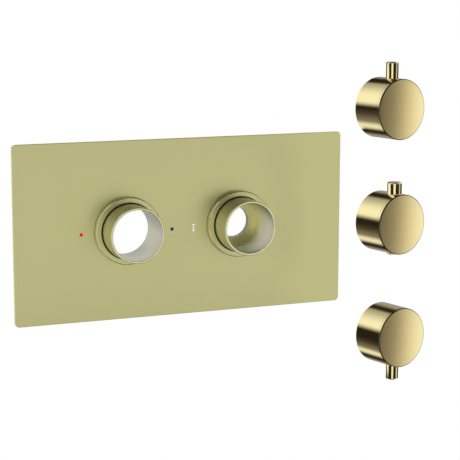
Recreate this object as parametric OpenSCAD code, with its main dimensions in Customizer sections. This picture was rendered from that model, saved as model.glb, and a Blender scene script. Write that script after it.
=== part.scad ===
// Trim kit of a concealed shower valve: faceplate, collars, sleeves and three handles.
// Origin: centre of the wall face behind the faceplate. +X right, +Y into the wall, +Z up.

/* [Faceplate] */
// Width of the faceplate
plate_w = 253; // [200:1:320]
// Height of the faceplate
plate_h = 130; // [90:1:180]
// Thickness of the faceplate
plate_t = 2.5; // [1.5:0.1:5]
// Corner radius of the faceplate
plate_corner_r = 3; // [1:0.5:12]
// Break along the front edge of the faceplate
plate_edge_break = 0.4; // [0.1:0.1:0.8]
// Distance between the two sleeve axes
sleeve_pitch = 86; // [70:1:120]
// Clearance of the plate holes round the collar threads
plate_hole_gap = 0.3; // [0.1:0.1:0.8]

/* [Backing pad] */
// Thickness of the foam pad behind the plate
pad_t = 3; // [1:0.5:6]
// Distance from the plate edge to the pad edge
pad_inset = 4; // [1:0.5:12]
// Clearance of the pad holes round the collar nuts
pad_hole_gap = 1; // [0.5:0.5:3]

/* [Sleeves] */
// Outside diameter of a sleeve
sleeve_d = 40.2; // [34:0.1:46]
// Wall of a sleeve
sleeve_wall = 1.7; // [1:0.1:3]
// Reach of the sleeves in front of the plate
sleeve_reach = 25; // [15:0.5:40]
// Length of the temperature sleeve behind the plate front
temperature_tail = 8; // [8:0.5:20]
// Depth of the flow sleeve shoulder behind the plate front
shoulder_depth = 7; // [3:0.5:15]
// Thickness of the flow sleeve shoulder
shoulder_t = 5; // [2:0.5:8]
// Diameter of the small bore in the flow sleeve
small_bore_d = 23; // [14:0.5:28]
// Break on the rim edges of the sleeves
rim_break = 0.3; // [0.1:0.1:0.5]

/* [Collars] */
// Diameter of the collar flange
collar_d = 49; // [46:0.5:56]
// Height of the collar front above the plate
collar_proud = 5; // [3:0.5:10]
// Break on the edges of the collar flange
collar_break = 0.4; // [0.1:0.1:1]
// Radial clearance between collar and sleeve
slide_gap = 0.1; // [0.05:0.01:0.2]
// Wall of the collar thread outside the bore
thread_wall = 1.3; // [1:0.1:2]
// Thickness of the seal under the collar flange
collar_seal_t = 0.6; // [0.3:0.1:1.5]
// Distance from the flange edge to the seal edge
collar_seal_inset = 0.7; // [0.3:0.1:1.5]
// Radial width of the wiper ring
wiper_w = 1; // [0.6:0.1:1.2]
// Depth of the wiper ring
wiper_h = 1.6; // [1:0.1:2.2]
// Distance from the collar front to the wiper ring
wiper_set_back = 0.4; // [0.2:0.1:0.8]

/* [Collar nuts] */
// Radial width of a collar nut
nut_w = 4.5; // [3:0.5:8]
// Thickness of a collar nut
nut_t = 3.5; // [2:0.5:6]
// Width of the spanner slots in a collar nut
nut_slot_w = 4; // [2:0.5:6]
// Depth of the spanner slots in a collar nut
nut_slot_depth = 1.6; // [1:0.1:2]
// Thread of the collar that shows behind the nut
thread_spare = 0.7; // [0.3:0.1:3]
// Thickness of the washer under a collar nut
nut_washer_t = 0.8; // [0.5:0.1:2]
// Distance from the nut edge to the washer edge
nut_washer_inset = 0.5; // [0.2:0.1:1.5]

/* [Marks] */
// Diameter of the red and the blue dot
dot_d = 2.6; // [1.5:0.1:5]
// Distance of the dots from the temperature sleeve axis
dot_reach = 34.3; // [30:0.1:40]
// Height of the outlet numeral
numeral_h = 5.4; // [3:0.1:10]
// Width of the outlet numeral
numeral_w = 2.4; // [1.5:0.1:5]
// Width of the upright stroke of the numeral
numeral_stem = 0.9; // [0.5:0.1:2]
// Thickness of the short strokes of the numeral
numeral_serif = 0.6; // [0.3:0.1:1.5]
// Distance of the numeral from the flow sleeve axis
numeral_reach = 35; // [30:0.1:40]
// Distance of the marks below the sleeve axes
mark_drop = 1.2; // [0:0.1:4]
// Depth of the enamel in the plate
mark_depth = 0.4; // [0.2:0.1:1]

/* [Handles] */
// Diameter of a handle
handle_d = 45; // [44.5:0.5:50]
// Length of a handle from its back edge to its face
handle_l = 26.5; // [25:0.5:40]
// Break on the back edges of the drum
drum_break = 0.3; // [0.1:0.1:0.5]
// Radial clearance of the skirt over a sleeve
skirt_gap = 0.4; // [0.2:0.1:0.8]
// Depth of the skirt over the sleeve end
skirt_depth = 9; // [6:0.5:9]
// Diameter of the hub chamber in a drum
chamber_d = 30; // [28:0.5:32]
// Thickness of the web between hub and screw head
web_t = 2; // [1.5:0.1:2.5]
// Diameter of the recess in the drum front
recess_d = 37; // [32:0.5:39]
// Depth of the recess in the drum front
recess_depth = 2.2; // [2:0.1:2.6]

/* [Handle caps] */
// Thickness of a cap
cap_t = 2.8; // [2:0.1:4]
// Break on the front edge of a cap
cap_break = 0.5; // [0.2:0.1:1]
// Width of the shadow line between cap and drum
shadow_w = 0.3; // [0.1:0.1:0.6]
// Depth of the shadow line between cap and drum
shadow_depth = 0.5; // [0.2:0.1:1]
// Wall of the cap spigot
spigot_wall = 2.4; // [1.5:0.1:4]
// Clearance of the spigot in the recess
spigot_gap = 0.1; // [0.05:0.05:0.3]
// Thickness of the rubber ring on the spigot
cap_ring_t = 0.8; // [0.5:0.1:1]

/* [Pegs] */
// Diameter of the flow and diverter pegs
peg_d = 9.2; // [6:0.1:11]
// Diameter of the temperature peg
temperature_peg_d = 10.8; // [8:0.1:11]
// Reach of the flow peg beyond the drum
flow_peg_reach = 11.8; // [6:0.1:20]
// Reach of the diverter peg beyond the drum
diverter_peg_reach = 11.1; // [6:0.1:20]
// Reach of the temperature peg beyond the drum
temperature_peg_reach = 8.4; // [4:0.1:16]
// Distance of the flow peg from the handle face
flow_peg_set_back = 11.6; // [9:0.1:13]
// Distance of the diverter peg from the handle face
diverter_peg_set_back = 10.2; // [9:0.1:13]
// Distance of the temperature peg from the handle face
temperature_peg_set_back = 9.1; // [8.6:0.1:12]
// Radius of the rounded peg end
peg_round = 0.9; // [0.3:0.1:2]
// Depth of the peg seat in the drum
peg_seat = 1; // [0.8:0.1:2]
// Thread diameter of the peg tail
tail_d = 5; // [4:0.5:6]
// Length of the peg tail
tail_l = 5.2; // [3:0.1:6]

/* [Hubs] */
// Clearance of the hub in the drum
hub_gap = 0.1; // [0.05:0.05:0.3]
// Thickness of the hub flange
hub_flange_t = 3; // [2:0.5:4]
// Diameter of the hub boss
hub_boss_d = 21; // [20.5:0.5:24]
// Length of the hub boss
hub_boss_l = 6.5; // [5:0.5:8]
// Diameter of the hub nose
hub_nose_d = 16; // [13:0.5:18]
// Distance from the drum's back edge to the hub nose
hub_nose_inset = 4; // [1:0.5:6]
// Diameter of the spindle socket
socket_d = 8; // [6:0.5:9]
// Depth of the spindle socket
socket_depth = 12; // [8:0.5:12.5]
// Width of the key slots beside the socket
key_w = 1.5; // [1:0.1:2]
// Depth of the key slots beside the socket
key_depth = 0.8; // [0.5:0.1:1.5]

/* [Spindle screws] */
// Thread diameter of the spindle screw
screw_d = 4; // [3:0.5:5]
// Clearance of the screw in web and hub
screw_gap = 0.1; // [0.05:0.05:0.3]
// Head diameter of the spindle screw
screw_head_d = 8; // [6:0.5:10]
// Head height of the spindle screw
screw_head_h = 1.8; // [1:0.1:1.9]
// Key size of the socket in the screw head
screw_key = 2.5; // [2:0.5:4]
// Depth of the socket in the screw head
screw_key_depth = 1.1; // [0.5:0.1:1.4]

/* [Override button] */
// Diameter of the override button
button_d = 7.6; // [5:0.1:8]
// Reach of the button beyond the drum
button_reach = 1; // [1:0.1:2]
// Travel of the button when pressed
button_travel = 1.2; // [0.8:0.1:1.5]
// Distance of the button from the handle face
button_set_back = 10.4; // [9.6:0.1:11]
// Radial clearance of the button in its bore
button_gap = 0.06; // [0.02:0.01:0.1]
// Break on the button's outer edge
button_break = 0.5; // [0.2:0.1:1]
// Length of the guide bore in the drum wall
guide_l = 5; // [4:0.1:5.4]
// Diameter of the flange that keeps the button in
stop_d = 9; // [8.8:0.1:9.4]
// Thickness of the button flange
stop_t = 1.4; // [1:0.1:1.6]
// Play between the button flange and its stop
stop_play = 0.05; // [0.03:0.01:0.1]
// Clearance of the pocket round the button flange
pocket_gap = 0.2; // [0.1:0.05:0.3]
// Diameter of the button stem
stem_d = 3; // [2:0.1:3.2]
// Clearance round the button stem in the hub
stem_gap = 0.15; // [0.1:0.05:0.3]
// Distance from the handle axis to the spring seat
spring_seat = 9.5; // [9:0.1:9.9]
// Length of the stem past the spring seat
stem_past = 0.9; // [0.5:0.1:1.2]
// Depth of the stem hole past the spring seat
stem_hole_depth = 2.6; // [2.5:0.1:3]

/* [Button spring] */
// Wire diameter of the button spring
wire_d = 0.5; // [0.3:0.05:0.6]
// Mean diameter of the button spring
coil_d = 5; // [4.4:0.1:6.5]
// Number of turns of the button spring
coil_turns = 5; // [3:1:6]

/* [Handle column] */
// Distance from the plate edge to the middle handle's face centre
column_gap = 28.9; // [26:0.1:60]
// Distance from the plate front to the middle handle's face centre
column_stand = 46.5; // [30:0.1:80]
// Height of the middle handle's axis
column_z = -0.7; // [-20:0.1:20]
// Height between neighbouring handles
column_pitch = 84.9; // [75:0.1:120]
// Shift to the right from one handle to the next one up
column_step_x = 0.45; // [0:0.05:2]
// Shift towards the wall from one handle to the next one up
column_step_y = 4.65; // [0:0.05:8]
// Turn of the handle axes away from the plate's normal
handle_turn = 14.6; // [0:0.1:30]

/* [Hidden] */
$fn = 96;
// Overrun of every cut past the face that it opens
cut = 0.5;

// Colours
satin_brass = [0.74, 0.72, 0.52];
polished_brass = [0.80, 0.70, 0.42];
bare_brass = [0.72, 0.62, 0.36];
rubber_black = [0.07, 0.06, 0.06];
foam_grey = [0.32, 0.32, 0.33];
steel = [0.72, 0.72, 0.73];
hub_white = [0.88, 0.87, 0.84];

// Levels along Y, from the wall towards the room
plate_back_y = -pad_t;
plate_front_y = plate_back_y - plate_t;
flange_back_y = plate_front_y - collar_seal_t;
collar_front_y = plate_front_y - collar_proud;
sleeve_front_y = plate_front_y - sleeve_reach;
washer_back_y = plate_back_y + nut_washer_t;
nut_back_y = washer_back_y + nut_t;
thread_end_y = nut_back_y + thread_spare;

// Radii round a sleeve axis
sleeve_r = sleeve_d / 2;
sleeve_bore_r = sleeve_r - sleeve_wall;
collar_r = collar_d / 2;
collar_bore_r = sleeve_r + slide_gap;
thread_r = collar_bore_r + thread_wall;
wiper_r = collar_bore_r + wiper_w;
nut_r = thread_r + nut_w;

// Levels inside a handle, from its back edge towards its face
drum_r = handle_d / 2;
skirt_r = sleeve_r + skirt_gap;
chamber_r = chamber_d / 2;
recess_r = recess_d / 2;
cap_s = handle_l - cap_t;
web_front_s = cap_s - recess_depth;
web_back_s = web_front_s - web_t;
hub_r = chamber_r - hub_gap;
hub_flange_s = web_back_s - hub_flange_t;
hub_boss_s = hub_flange_s - hub_boss_l;
socket_s = hub_nose_inset + socket_depth;
spigot_r = recess_r - spigot_gap;
spigot_s = web_front_s + spigot_gap;
seat_r = drum_r - peg_seat;

// Distances of the override button's steps from the handle axis
button_r = button_d / 2;
button_s = handle_l - button_set_back;
button_tip = drum_r + button_reach;
guide_end = drum_r - guide_l;
stop_outer = guide_end - stop_play;
stop_inner = stop_outer - stop_t;
stop_r = stop_d / 2;
pocket_r = stop_r + pocket_gap;

// Places of the handles in their column
TEMPERATURE = 0;
FLOW = 1;
DIVERTER = -1;

// Wound spring
coil_steps = 12;
wire_sides = 6;

// Moves a shape that is drawn along +Z to a level on Y, with +Z pointing to the room
module facing(y) {
    translate([0, y, 0])
        rotate([90, 0, 0])
            children();
}

module on_temperature_axis() {
    translate([-sleeve_pitch / 2, 0, 0])
        children();
}

module on_flow_axis() {
    translate([sleeve_pitch / 2, 0, 0])
        children();
}

// Ring between two levels on Y
module ring(outer_r, inner_r, back_y, front_y) {
    facing(back_y)
        difference() {
            cylinder(r = outer_r, h = back_y - front_y);
            translate([0, 0, -cut])
                cylinder(r = inner_r, h = back_y - front_y + 2 * cut);
        }
}

// Handle frame: +Z from the back edge to the face, +Y up
module in_handle(place) {
    translate([plate_w / 2 + column_gap + place * column_step_x,
               plate_front_y - column_stand + place * column_step_y,
               column_z + place * column_pitch])
        rotate([0, 0, handle_turn])
            rotate([90, 0, 0])
                translate([0, 0, -handle_l])
                    children();
}

// Inside a handle: +Z runs outwards along a radius, up (1) or down (-1), at a level s
module radial(s, up) {
    translate([0, 0, s])
        rotate([-90 * up, 0, 0])
            children();
}

// Sleeves
module sleeve_body(tail) {
    facing(plate_front_y + tail)
        rotate_extrude()
            polygon([
                [sleeve_bore_r, 0],
                [sleeve_r - rim_break, 0],
                [sleeve_r, rim_break],
                [sleeve_r, tail + sleeve_reach - rim_break],
                [sleeve_r - rim_break, tail + sleeve_reach],
                [sleeve_bore_r + rim_break, tail + sleeve_reach],
                [sleeve_bore_r, tail + sleeve_reach - rim_break]]);
}

module temperature_sleeve() {
    color(satin_brass)
        on_temperature_axis()
            sleeve_body(temperature_tail);
}

module flow_sleeve() {
    color(satin_brass)
        on_flow_axis()
            union() {
                sleeve_body(shoulder_depth + shoulder_t);
                ring(sleeve_bore_r + sleeve_wall / 2, small_bore_d / 2,
                     plate_front_y + shoulder_depth + shoulder_t, plate_front_y + shoulder_depth);
            }
}

// Faceplate
module plate_corner(x, z) {
    translate([x, z, 0]) {
        cylinder(r = plate_corner_r, h = plate_t - plate_edge_break, $fn = 32);
        translate([0, 0, plate_t - plate_edge_break])
            cylinder(r1 = plate_corner_r, r2 = plate_corner_r - plate_edge_break,
                     h = plate_edge_break, $fn = 32);
    }
}

module plate_blank() {
    facing(plate_back_y)
        hull()
            for (x = [-1, 1], z = [-1, 1])
                plate_corner(x * (plate_w / 2 - plate_corner_r), z * (plate_h / 2 - plate_corner_r));
}

module faceplate() {
    color(satin_brass)
        difference() {
            plate_blank();
            on_temperature_axis()
                plate_hole();
            on_flow_axis()
                plate_hole();
            hot_place()
                dot(cut);
            cold_place()
                dot(cut);
            numeral_place()
                numeral(cut);
        }
}

module plate_hole() {
    facing(plate_back_y + cut)
        cylinder(r = thread_r + plate_hole_gap, h = plate_t + 2 * cut);
}

// Enamel marks
module hot_place() {
    translate([-sleeve_pitch / 2 - dot_reach, 0, -mark_drop])
        facing(plate_front_y + mark_depth)
            children();
}

module cold_place() {
    translate([-sleeve_pitch / 2 + dot_reach, 0, -mark_drop])
        facing(plate_front_y + mark_depth)
            children();
}

module numeral_place() {
    translate([sleeve_pitch / 2 - numeral_reach, 0, -mark_drop])
        facing(plate_front_y + mark_depth)
            children();
}

module dot(over) {
    cylinder(d = dot_d, h = mark_depth + over);
}

module numeral(over) {
    linear_extrude(mark_depth + over)
        union() {
            square([numeral_stem, numeral_h], center = true);
            for (up = [-1, 1])
                translate([0, up * (numeral_h - numeral_serif) / 2])
                    square([numeral_w, numeral_serif], center = true);
        }
}

module hot_mark() {
    color("red")
        hot_place()
            dot(0);
}

module cold_mark() {
    color("blue")
        cold_place()
            dot(0);
}

module outlet_numeral() {
    color("white")
        numeral_place()
            numeral(0);
}

// Foam pad
module pad_hole() {
    facing(cut)
        cylinder(r = nut_r + pad_hole_gap, h = pad_t + 2 * cut);
}

module backing_pad() {
    color(foam_grey)
        difference() {
            facing(0)
                linear_extrude(pad_t)
                    square([plate_w - 2 * pad_inset, plate_h - 2 * pad_inset], center = true);
            on_temperature_axis()
                pad_hole();
            on_flow_axis()
                pad_hole();
        }
}

// Collars
module collar_body() {
    thread_l = thread_end_y - flange_back_y;
    collar_l = thread_end_y - collar_front_y;
    wiper_floor = collar_l - wiper_set_back - wiper_h;
    facing(thread_end_y)
        rotate_extrude()
            polygon([
                [collar_bore_r, 0],
                [thread_r, 0],
                [thread_r, thread_l],
                [collar_r, thread_l],
                [collar_r, collar_l - collar_break],
                [collar_r - collar_break, collar_l],
                [wiper_r, collar_l],
                [wiper_r, wiper_floor],
                [collar_bore_r, wiper_floor]]);
}

module collar_seal_body() {
    ring(collar_r - collar_seal_inset, thread_r, plate_front_y, flange_back_y);
}

module wiper_body() {
    ring(wiper_r, collar_bore_r, collar_front_y + wiper_set_back + wiper_h,
         collar_front_y + wiper_set_back);
}

module nut_washer_body() {
    ring(nut_r - nut_washer_inset, thread_r, washer_back_y, plate_back_y);
}

module nut_body() {
    difference() {
        ring(nut_r, thread_r, nut_back_y, washer_back_y);
        for (turn = [0:90:270])
            rotate([0, turn, 0])
                translate([nut_r - nut_slot_depth, washer_back_y - cut, -nut_slot_w / 2])
                    cube([nut_slot_depth + cut, nut_t + 2 * cut, nut_slot_w]);
    }
}

module temperature_collar() {
    color(satin_brass)
        on_temperature_axis()
            collar_body();
}

module flow_collar() {
    color(satin_brass)
        on_flow_axis()
            collar_body();
}

module temperature_collar_seal() {
    color(rubber_black)
        on_temperature_axis()
            collar_seal_body();
}

module flow_collar_seal() {
    color(rubber_black)
        on_flow_axis()
            collar_seal_body();
}

module temperature_wiper_ring() {
    color(rubber_black)
        on_temperature_axis()
            wiper_body();
}

module flow_wiper_ring() {
    color(rubber_black)
        on_flow_axis()
            wiper_body();
}

module temperature_collar_nut() {
    color(bare_brass)
        on_temperature_axis()
            nut_body();
}

module flow_collar_nut() {
    color(bare_brass)
        on_flow_axis()
            nut_body();
}

module temperature_nut_washer() {
    color(steel)
        on_temperature_axis()
            nut_washer_body();
}

module flow_nut_washer() {
    color(steel)
        on_flow_axis()
            nut_washer_body();
}

// Handle drums
module drum_blank() {
    rotate_extrude()
        polygon([
            [skirt_r + drum_break, 0],
            [drum_r - drum_break, 0],
            [drum_r, drum_break],
            [drum_r, cap_s],
            [recess_r, cap_s],
            [recess_r, web_front_s],
            [screw_d / 2 + screw_gap, web_front_s],
            [screw_d / 2 + screw_gap, web_back_s],
            [chamber_r, web_back_s],
            [chamber_r, skirt_depth],
            [skirt_r, skirt_depth],
            [skirt_r, drum_break]]);
}

// Seat and tapped hole for a peg
module peg_hole(s, up, d) {
    radial(s, up) {
        translate([0, 0, seat_r])
            cylinder(d = d, h = peg_seat + cut);
        translate([0, 0, seat_r - tail_l])
            cylinder(d = tail_d, h = tail_l + cut);
    }
}

// Stepped bore for the override button, from the hub chamber outwards
module button_hole() {
    radial(button_s, -1) {
        translate([0, 0, guide_end - cut])
            cylinder(r = button_r + button_gap, h = guide_l + 2 * cut);
        translate([0, 0, spring_seat])
            cylinder(r = pocket_r, h = guide_end - spring_seat);
    }
}

module temperature_drum() {
    color(polished_brass)
        in_handle(TEMPERATURE)
            difference() {
                drum_blank();
                peg_hole(handle_l - temperature_peg_set_back, 1, temperature_peg_d);
                button_hole();
            }
}

module flow_drum() {
    color(polished_brass)
        in_handle(FLOW)
            difference() {
                drum_blank();
                peg_hole(handle_l - flow_peg_set_back, 1, peg_d);
            }
}

module diverter_drum() {
    color(polished_brass)
        in_handle(DIVERTER)
            difference() {
                drum_blank();
                peg_hole(handle_l - diverter_peg_set_back, -1, peg_d);
            }
}

// Handle caps
module cap_body() {
    ring_floor = spigot_r - cap_ring_t;
    ring_mid = (cap_s + spigot_s) / 2;
    rotate_extrude()
        polygon([
            [0, cap_s],
            [spigot_r - spigot_wall, cap_s],
            [spigot_r - spigot_wall, spigot_s],
            [spigot_r, spigot_s],
            [spigot_r, ring_mid - cap_ring_t / 2],
            [ring_floor, ring_mid - cap_ring_t / 2],
            [ring_floor, ring_mid + cap_ring_t / 2],
            [spigot_r, ring_mid + cap_ring_t / 2],
            [spigot_r, cap_s],
            [drum_r - shadow_depth, cap_s],
            [drum_r - shadow_depth, cap_s + shadow_w],
            [drum_r, cap_s + shadow_w],
            [drum_r, handle_l - cap_break],
            [drum_r - cap_break, handle_l],
            [0, handle_l]]);
}

module cap_ring_body() {
    translate([0, 0, (cap_s + spigot_s - cap_ring_t) / 2])
        difference() {
            cylinder(r = recess_r, h = cap_ring_t);
            translate([0, 0, -cut])
                cylinder(r = spigot_r - cap_ring_t, h = cap_ring_t + 2 * cut);
        }
}

module temperature_cap() {
    color(polished_brass)
        in_handle(TEMPERATURE)
            cap_body();
}

module flow_cap() {
    color(polished_brass)
        in_handle(FLOW)
            cap_body();
}

module diverter_cap() {
    color(polished_brass)
        in_handle(DIVERTER)
            cap_body();
}

module temperature_cap_ring() {
    color(rubber_black)
        in_handle(TEMPERATURE)
            cap_ring_body();
}

module flow_cap_ring() {
    color(rubber_black)
        in_handle(FLOW)
            cap_ring_body();
}

module diverter_cap_ring() {
    color(rubber_black)
        in_handle(DIVERTER)
            cap_ring_body();
}

// Pegs: a round pin with a rounded end and a threaded tail
module peg_body(s, up, d, reach) {
    pin_l = peg_seat + reach;
    round_steps = 6;
    radial(s, up)
        translate([0, 0, seat_r])
            rotate_extrude()
                polygon(concat(
                    [[0, -tail_l], [tail_d / 2, -tail_l], [tail_d / 2, 0], [d / 2, 0]],
                    [for (i = [0:round_steps])
                        let (a = i * 90 / round_steps)
                            [d / 2 - peg_round * (1 - cos(a)), pin_l - peg_round * (1 - sin(a))]],
                    [[0, pin_l]]));
}

module temperature_peg() {
    color(polished_brass)
        in_handle(TEMPERATURE)
            peg_body(handle_l - temperature_peg_set_back, 1, temperature_peg_d,
                     temperature_peg_reach);
}

module flow_peg() {
    color(polished_brass)
        in_handle(FLOW)
            peg_body(handle_l - flow_peg_set_back, 1, peg_d, flow_peg_reach);
}

module diverter_peg() {
    color(polished_brass)
        in_handle(DIVERTER)
            peg_body(handle_l - diverter_peg_set_back, -1, peg_d, diverter_peg_reach);
}

// Hubs
module hub_body() {
    difference() {
        rotate_extrude()
            polygon([
                [screw_d / 2 + screw_gap, socket_s],
                [socket_d / 2, socket_s],
                [socket_d / 2, hub_nose_inset],
                [hub_nose_d / 2, hub_nose_inset],
                [hub_nose_d / 2, hub_boss_s],
                [hub_boss_d / 2, hub_boss_s],
                [hub_boss_d / 2, hub_flange_s],
                [hub_r, hub_flange_s],
                [hub_r, web_back_s],
                [screw_d / 2 + screw_gap, web_back_s]]);
        for (side = [-1, 1])
            translate([side * socket_d / 2 - key_depth, -key_w / 2, hub_nose_inset - cut])
                cube([2 * key_depth, key_w, socket_depth + cut]);
    }
}

module temperature_hub() {
    color(hub_white)
        in_handle(TEMPERATURE)
            difference() {
                hub_body();
                radial(button_s, -1) {
                    translate([0, 0, spring_seat])
                        cylinder(r = pocket_r, h = guide_end - spring_seat);
                    translate([0, 0, spring_seat - stem_hole_depth])
                        cylinder(r = stem_d / 2 + stem_gap, h = stem_hole_depth + cut);
                }
            }
}

module flow_hub() {
    color(hub_white)
        in_handle(FLOW)
            hub_body();
}

module diverter_hub() {
    color(hub_white)
        in_handle(DIVERTER)
            hub_body();
}

// Spindle screws
module spindle_screw_body() {
    difference() {
        union() {
            translate([0, 0, socket_s])
                cylinder(d = screw_d, h = web_front_s - socket_s + screw_head_h / 2);
            translate([0, 0, web_front_s])
                cylinder(d = screw_head_d, h = screw_head_h);
        }
        translate([0, 0, web_front_s + screw_head_h - screw_key_depth])
            cylinder(d = screw_key / cos(30), h = screw_key_depth + cut, $fn = 6);
    }
}

module temperature_spindle_screw() {
    color(steel)
        in_handle(TEMPERATURE)
            spindle_screw_body();
}

module flow_spindle_screw() {
    color(steel)
        in_handle(FLOW)
            spindle_screw_body();
}

module diverter_spindle_screw() {
    color(steel)
        in_handle(DIVERTER)
            spindle_screw_body();
}

// Override button, pressed towards the handle axis
module override_button() {
    color(polished_brass)
        in_handle(TEMPERATURE)
            radial(button_s, -1)
                rotate_extrude()
                    polygon([
                        [0, spring_seat - stem_past],
                        [stem_d / 2, spring_seat - stem_past],
                        [stem_d / 2, stop_inner],
                        [stop_r, stop_inner],
                        [stop_r, stop_outer],
                        [button_r, stop_outer],
                        [button_r, button_tip - button_break],
                        [button_r - button_break, button_tip],
                        [0, button_tip]]);
}

// Wound spring between the hub and the button flange
function coil_point(t) =
    let (r = coil_d / 2, a = 360 * t)
        [r * cos(a), r * sin(a), spring_rise * t];
spring_l = stop_inner - spring_seat;
spring_rise = (spring_l - wire_d) / coil_turns;
coil_rings = coil_steps * coil_turns;

// Ring of points round the wire at step i
function wire_ring(i) =
    let (t = i / coil_steps, a = 360 * t, c = coil_point(t))
        [for (k = [0:wire_sides - 1])
            let (b = 360 * k / wire_sides, out = wire_d / 2 * cos(b))
                c + [out * cos(a), out * sin(a), wire_d / 2 * sin(b)]];

module button_spring() {
    points = [for (i = [0:coil_rings]) each wire_ring(i)];
    last = coil_rings * wire_sides;
    sides = [for (i = [0:coil_rings - 1], k = [0:wire_sides - 1])
        let (a = i * wire_sides + k, b = i * wire_sides + (k + 1) % wire_sides)
            each [[a, a + wire_sides, b], [b, a + wire_sides, b + wire_sides]]];
    start_cap = [for (k = [1:wire_sides - 2]) [0, k, k + 1]];
    end_cap = [for (k = [1:wire_sides - 2]) [last, last + k + 1, last + k]];
    color(steel)
        in_handle(TEMPERATURE)
            radial(button_s, -1)
                translate([0, 0, spring_seat + wire_d / 2])
                    polyhedron(points, concat(sides, start_cap, end_cap));
}

temperature_sleeve();
flow_sleeve();
faceplate();
backing_pad();
temperature_collar();
flow_collar();
temperature_collar_seal();
flow_collar_seal();
temperature_wiper_ring();
flow_wiper_ring();
temperature_collar_nut();
flow_collar_nut();
temperature_nut_washer();
flow_nut_washer();
hot_mark();
cold_mark();
outlet_numeral();
temperature_drum();
temperature_cap();
temperature_cap_ring();
temperature_peg();
temperature_hub();
temperature_spindle_screw();
override_button();
button_spring();
flow_drum();
flow_cap();
flow_cap_ring();
flow_peg();
flow_hub();
flow_spindle_screw();
diverter_drum();
diverter_cap();
diverter_cap_ring();
diverter_peg();
diverter_hub();
diverter_spindle_screw();
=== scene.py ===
import math

import bmesh
import bpy
from mathutils import Matrix, Vector


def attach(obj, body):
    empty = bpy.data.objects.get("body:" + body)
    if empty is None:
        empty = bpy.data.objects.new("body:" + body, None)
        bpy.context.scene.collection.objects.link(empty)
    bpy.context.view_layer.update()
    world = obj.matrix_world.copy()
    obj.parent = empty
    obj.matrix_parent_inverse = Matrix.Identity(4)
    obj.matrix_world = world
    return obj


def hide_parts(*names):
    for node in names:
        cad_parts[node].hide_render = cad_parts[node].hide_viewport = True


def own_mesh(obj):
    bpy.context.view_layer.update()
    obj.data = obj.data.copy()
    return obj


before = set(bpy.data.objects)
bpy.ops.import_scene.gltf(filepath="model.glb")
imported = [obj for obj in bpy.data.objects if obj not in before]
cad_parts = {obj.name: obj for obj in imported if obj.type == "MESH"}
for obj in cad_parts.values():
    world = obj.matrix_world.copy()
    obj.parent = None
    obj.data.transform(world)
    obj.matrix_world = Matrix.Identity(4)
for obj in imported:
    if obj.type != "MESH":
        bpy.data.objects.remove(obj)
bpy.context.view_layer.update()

MM = 0.001
SIDES = 240
SMALL_SIDES = 96
TOUCH = 0.01

# Breaks on edges, in millimetres; one above LARGE gets more steps, and a sheet its own
SHARP = 0
FINE = 0.1
THIN = 0.15
SMALL = 0.2
SOFT = 0.3
LARGE = 0.6
BREAK_STEPS = 3
LARGE_STEPS = 5
SHEET_STEPS = 4
CORNER_STEPS = 12

# Cutting tools reach at least this far past what they cut, or to these levels
OVER = 1
CUT_LOW = -5
CUT_HIGH = 10

# Camera: where the photograph was taken from, in metres and degrees
CAMERA_PLACE = (-0.3769, -1.0310, 0.1884)
CAMERA_TURN = 21.971
CAMERA_DIP = 9.91
CAMERA_ROLL = 0.171
CAMERA_LENS = 118.77
CAMERA_FILM = 36

# Faceplate and pad, in millimetres; heights are measured from the wall towards the room
PLATE_W = 253
PLATE_H = 130
PLATE_BACK = 3
PLATE_FRONT = 5.5
PLATE_CORNER = 3
PLATE_BREAK = 0.4
PLATE_HOLE_R = 21.8
PAD_INSET = 4
PAD_HOLE_R = 27
PAD_CORNER = 1.5
PAD_SWELL = 0.9
AXIS_X = 43

# Sleeves
SLEEVE_R = 20.1
BORE_R = 18.4
SLEEVE_FRONT = 30.5
TEMPERATURE_BACK = -2.5
SHOULDER_FRONT = -1.5
SHOULDER_BACK = -6.5
SMALL_BORE_R = 11.5
RIM_BREAK = 0.3
RIM_ROUND = 0.5

# Collars, seals, wiper rings, nuts and washers
COLLAR_R = 24.5
COLLAR_BORE_R = 20.2
COLLAR_FRONT = 10.5
COLLAR_BREAK = 0.7
FLANGE_BACK = 6.1
THREAD_R = 21.5
THREAD_END = -2
SEAL_R = 23.8
WIPER_R = 21.2
LIP_R = 20.87
WIPER_FRONT = 10.1
WIPER_BACK = 8.5
NUT_R = 26
NUT_FRONT = 2.2
NUT_BACK = -1.3
NUT_SLOT_W = 4
NUT_SLOT_DEPTH = 1.6
WASHER_R = 25.5

# Marks
DOT_R = 1.3
DOT_BREAK = 0.12
DOT_REACH = 34.3
NUMERAL_X = 8
NUMERAL_H = 5.4
NUMERAL_W = 2.4
NUMERAL_STEM = 0.9
NUMERAL_SERIF = 0.6
NUMERAL_BREAK = 0.05
MARK_Z = -1.2
MARK_DEPTH = 0.4
MARK_FLOOR = PLATE_FRONT - MARK_DEPTH
HOT_X = -AXIS_X - DOT_REACH
COLD_X = -AXIS_X + DOT_REACH

# Handles; levels run from the back edge of a drum towards its face
HANDLE_TURN = 14.6
HANDLE_L = 26.5
DRUM_R = 22.5
SKIRT_R = 20.5
SKIRT_DEPTH = 9
CHAMBER_R = 15
WEB_BACK = 19.5
WEB_FRONT = 21.5
RECESS_R = 18.5
CAP_BACK = 23.7
CAP_BREAK = 0.5
SEAM_DEPTH = 0.1
SEAM_W = 0.06
SEAM_BREAK = 0.02
SPIGOT_R = 18.4
SPIGOT_BACK = 21.6
SPIGOT_WALL = 2.4
CAP_RING_T = 0.8
CAP_RING_BREAK = 0.25
CAP_RING_BACK = (CAP_BACK + SPIGOT_BACK - CAP_RING_T) / 2
CAP_RING_FRONT = CAP_RING_BACK + CAP_RING_T
CAP_GROOVE_R = SPIGOT_R - CAP_RING_T
SCREW_HOLE_R = 2.1

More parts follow.
